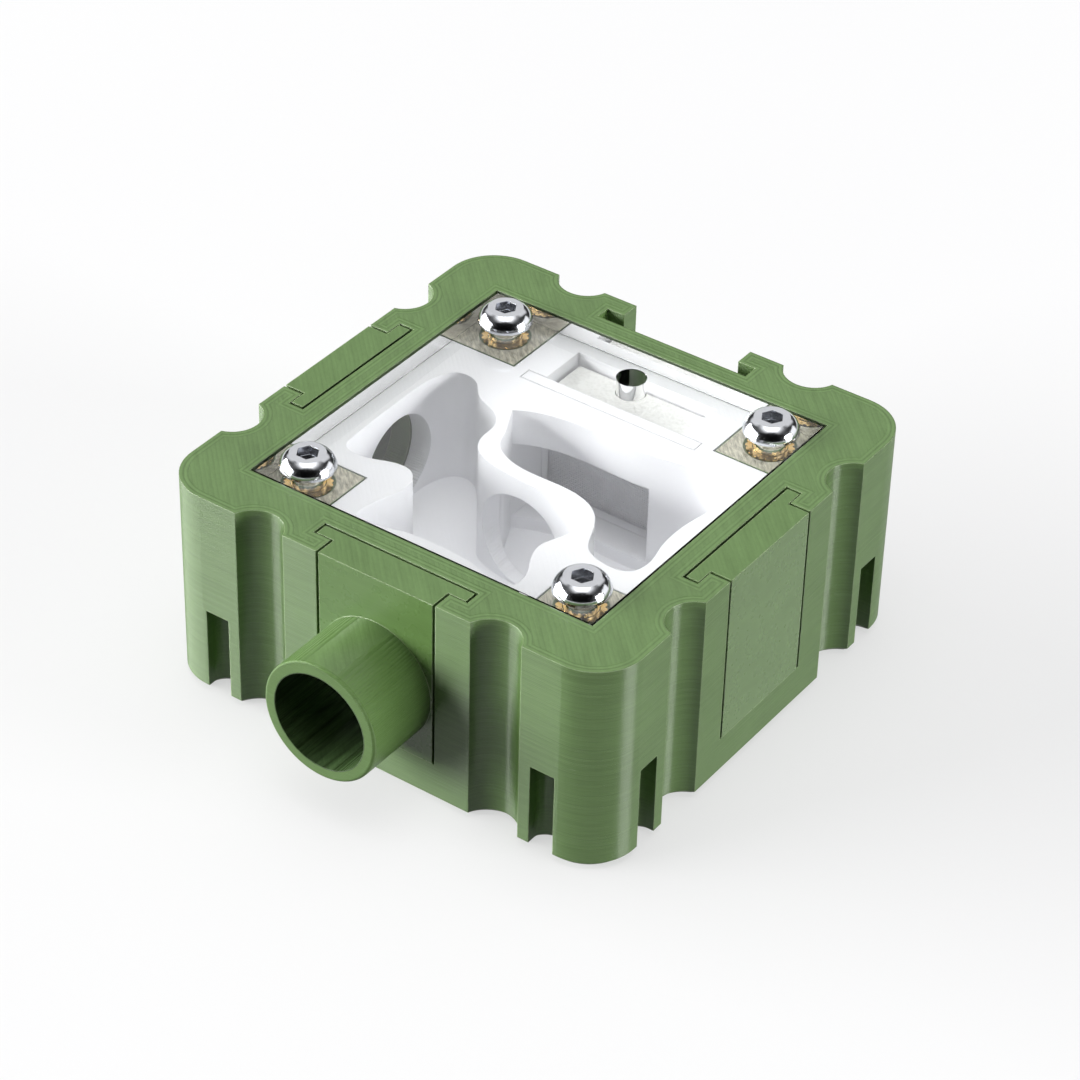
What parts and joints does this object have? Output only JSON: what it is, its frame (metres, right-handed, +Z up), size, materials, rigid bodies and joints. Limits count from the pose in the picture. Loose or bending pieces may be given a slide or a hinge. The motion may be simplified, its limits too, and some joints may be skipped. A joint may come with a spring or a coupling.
{
  "type": "modular ant habitat",
  "caption": "Square printed ant nest module with a white chamber insert, a clear screwed lid, a tube spigot and slide-in side panels.",
  "frame": {"origin": "centre of the housing's base, on the surface that it stands on", "axes": "+Z up; -Y towards the tube spigot; +X towards the right blank panel"},
  "size_m": [0.052, 0.0604, 0.0247],
  "materials": {
    "green_plastic": "matte, fine printed layers",
    "white_plastic": "matte, fine printed layers",
    "clear_acrylic": "polished, clear",
    "steel_mesh": "fine woven wire",
    "sponge": "fine open foam",
    "brass": "knurled",
    "zinc_steel": "bright zinc plated"
  },
  "bodies": {
    "housing": {"housing": "green_plastic", "brass_insert_1": "brass", "brass_insert_2": "brass", "brass_insert_3": "brass", "brass_insert_4": "brass"},
    "nest_insert": {"nest_insert": "white_plastic", "sponge": "sponge"},
    "mesh_cassette": {"mesh_retainer": "white_plastic", "mesh_screen": "steel_mesh"},
    "lid": {"lid": "clear_acrylic"},
    "tube_panel": {"tube_panel": "green_plastic"},
    "blank_panel_right": {"blank_panel_right": "green_plastic"},
    "blank_panel_left": {"blank_panel_left": "green_plastic"},
    "lid_screw_1": {"lid_screw_1": "zinc_steel"},
    "lid_screw_2": {"lid_screw_2": "zinc_steel"},
    "lid_screw_3": {"lid_screw_3": "zinc_steel"},
    "lid_screw_4": {"lid_screw_4": "zinc_steel"}
  },
  "joints": [
    {"name": "tube_panel_slide", "type": "slide", "parent": "housing", "child": "tube_panel", "axis": [0, 0, 1], "range_m": [0, 0.02]},
    {"name": "blank_panel_right_slide", "type": "slide", "parent": "housing", "child": "blank_panel_right", "axis": [0, 0, 1], "range_m": [0, 0.02]},
    {"name": "blank_panel_left_slide", "type": "slide", "parent": "housing", "child": "blank_panel_left", "axis": [0, 0, 1], "range_m": [0, 0.02]},
    {"name": "nest_insert_lift", "type": "slide", "parent": "housing", "child": "nest_insert", "axis": [0, 0, 1], "range_m": [0, 0.022]},
    {"name": "mesh_cassette_lift", "type": "slide", "parent": "nest_insert", "child": "mesh_cassette", "axis": [0, 0, 1], "range_m": [0, 0.0125]},
    {"name": "lid_lift", "type": "slide", "parent": "mesh_cassette", "child": "lid", "axis": [0, 0, 1], "range_m": [0, 0.01]},
    {"name": "lid_screw_1_out", "type": "slide", "parent": "lid", "child": "lid_screw_1", "axis": [0, 0, 1], "range_m": [0, 0.0095]},
    {"name": "lid_screw_2_out", "type": "slide", "parent": "lid", "child": "lid_screw_2", "axis": [0, 0, 1], "range_m": [0, 0.0095]},
    {"name": "lid_screw_3_out", "type": "slide", "parent": "lid", "child": "lid_screw_3", "axis": [0, 0, 1], "range_m": [0, 0.0095]},
    {"name": "lid_screw_4_out", "type": "slide", "parent": "lid", "child": "lid_screw_4", "axis": [0, 0, 1], "range_m": [0, 0.0095]}
  ]
}
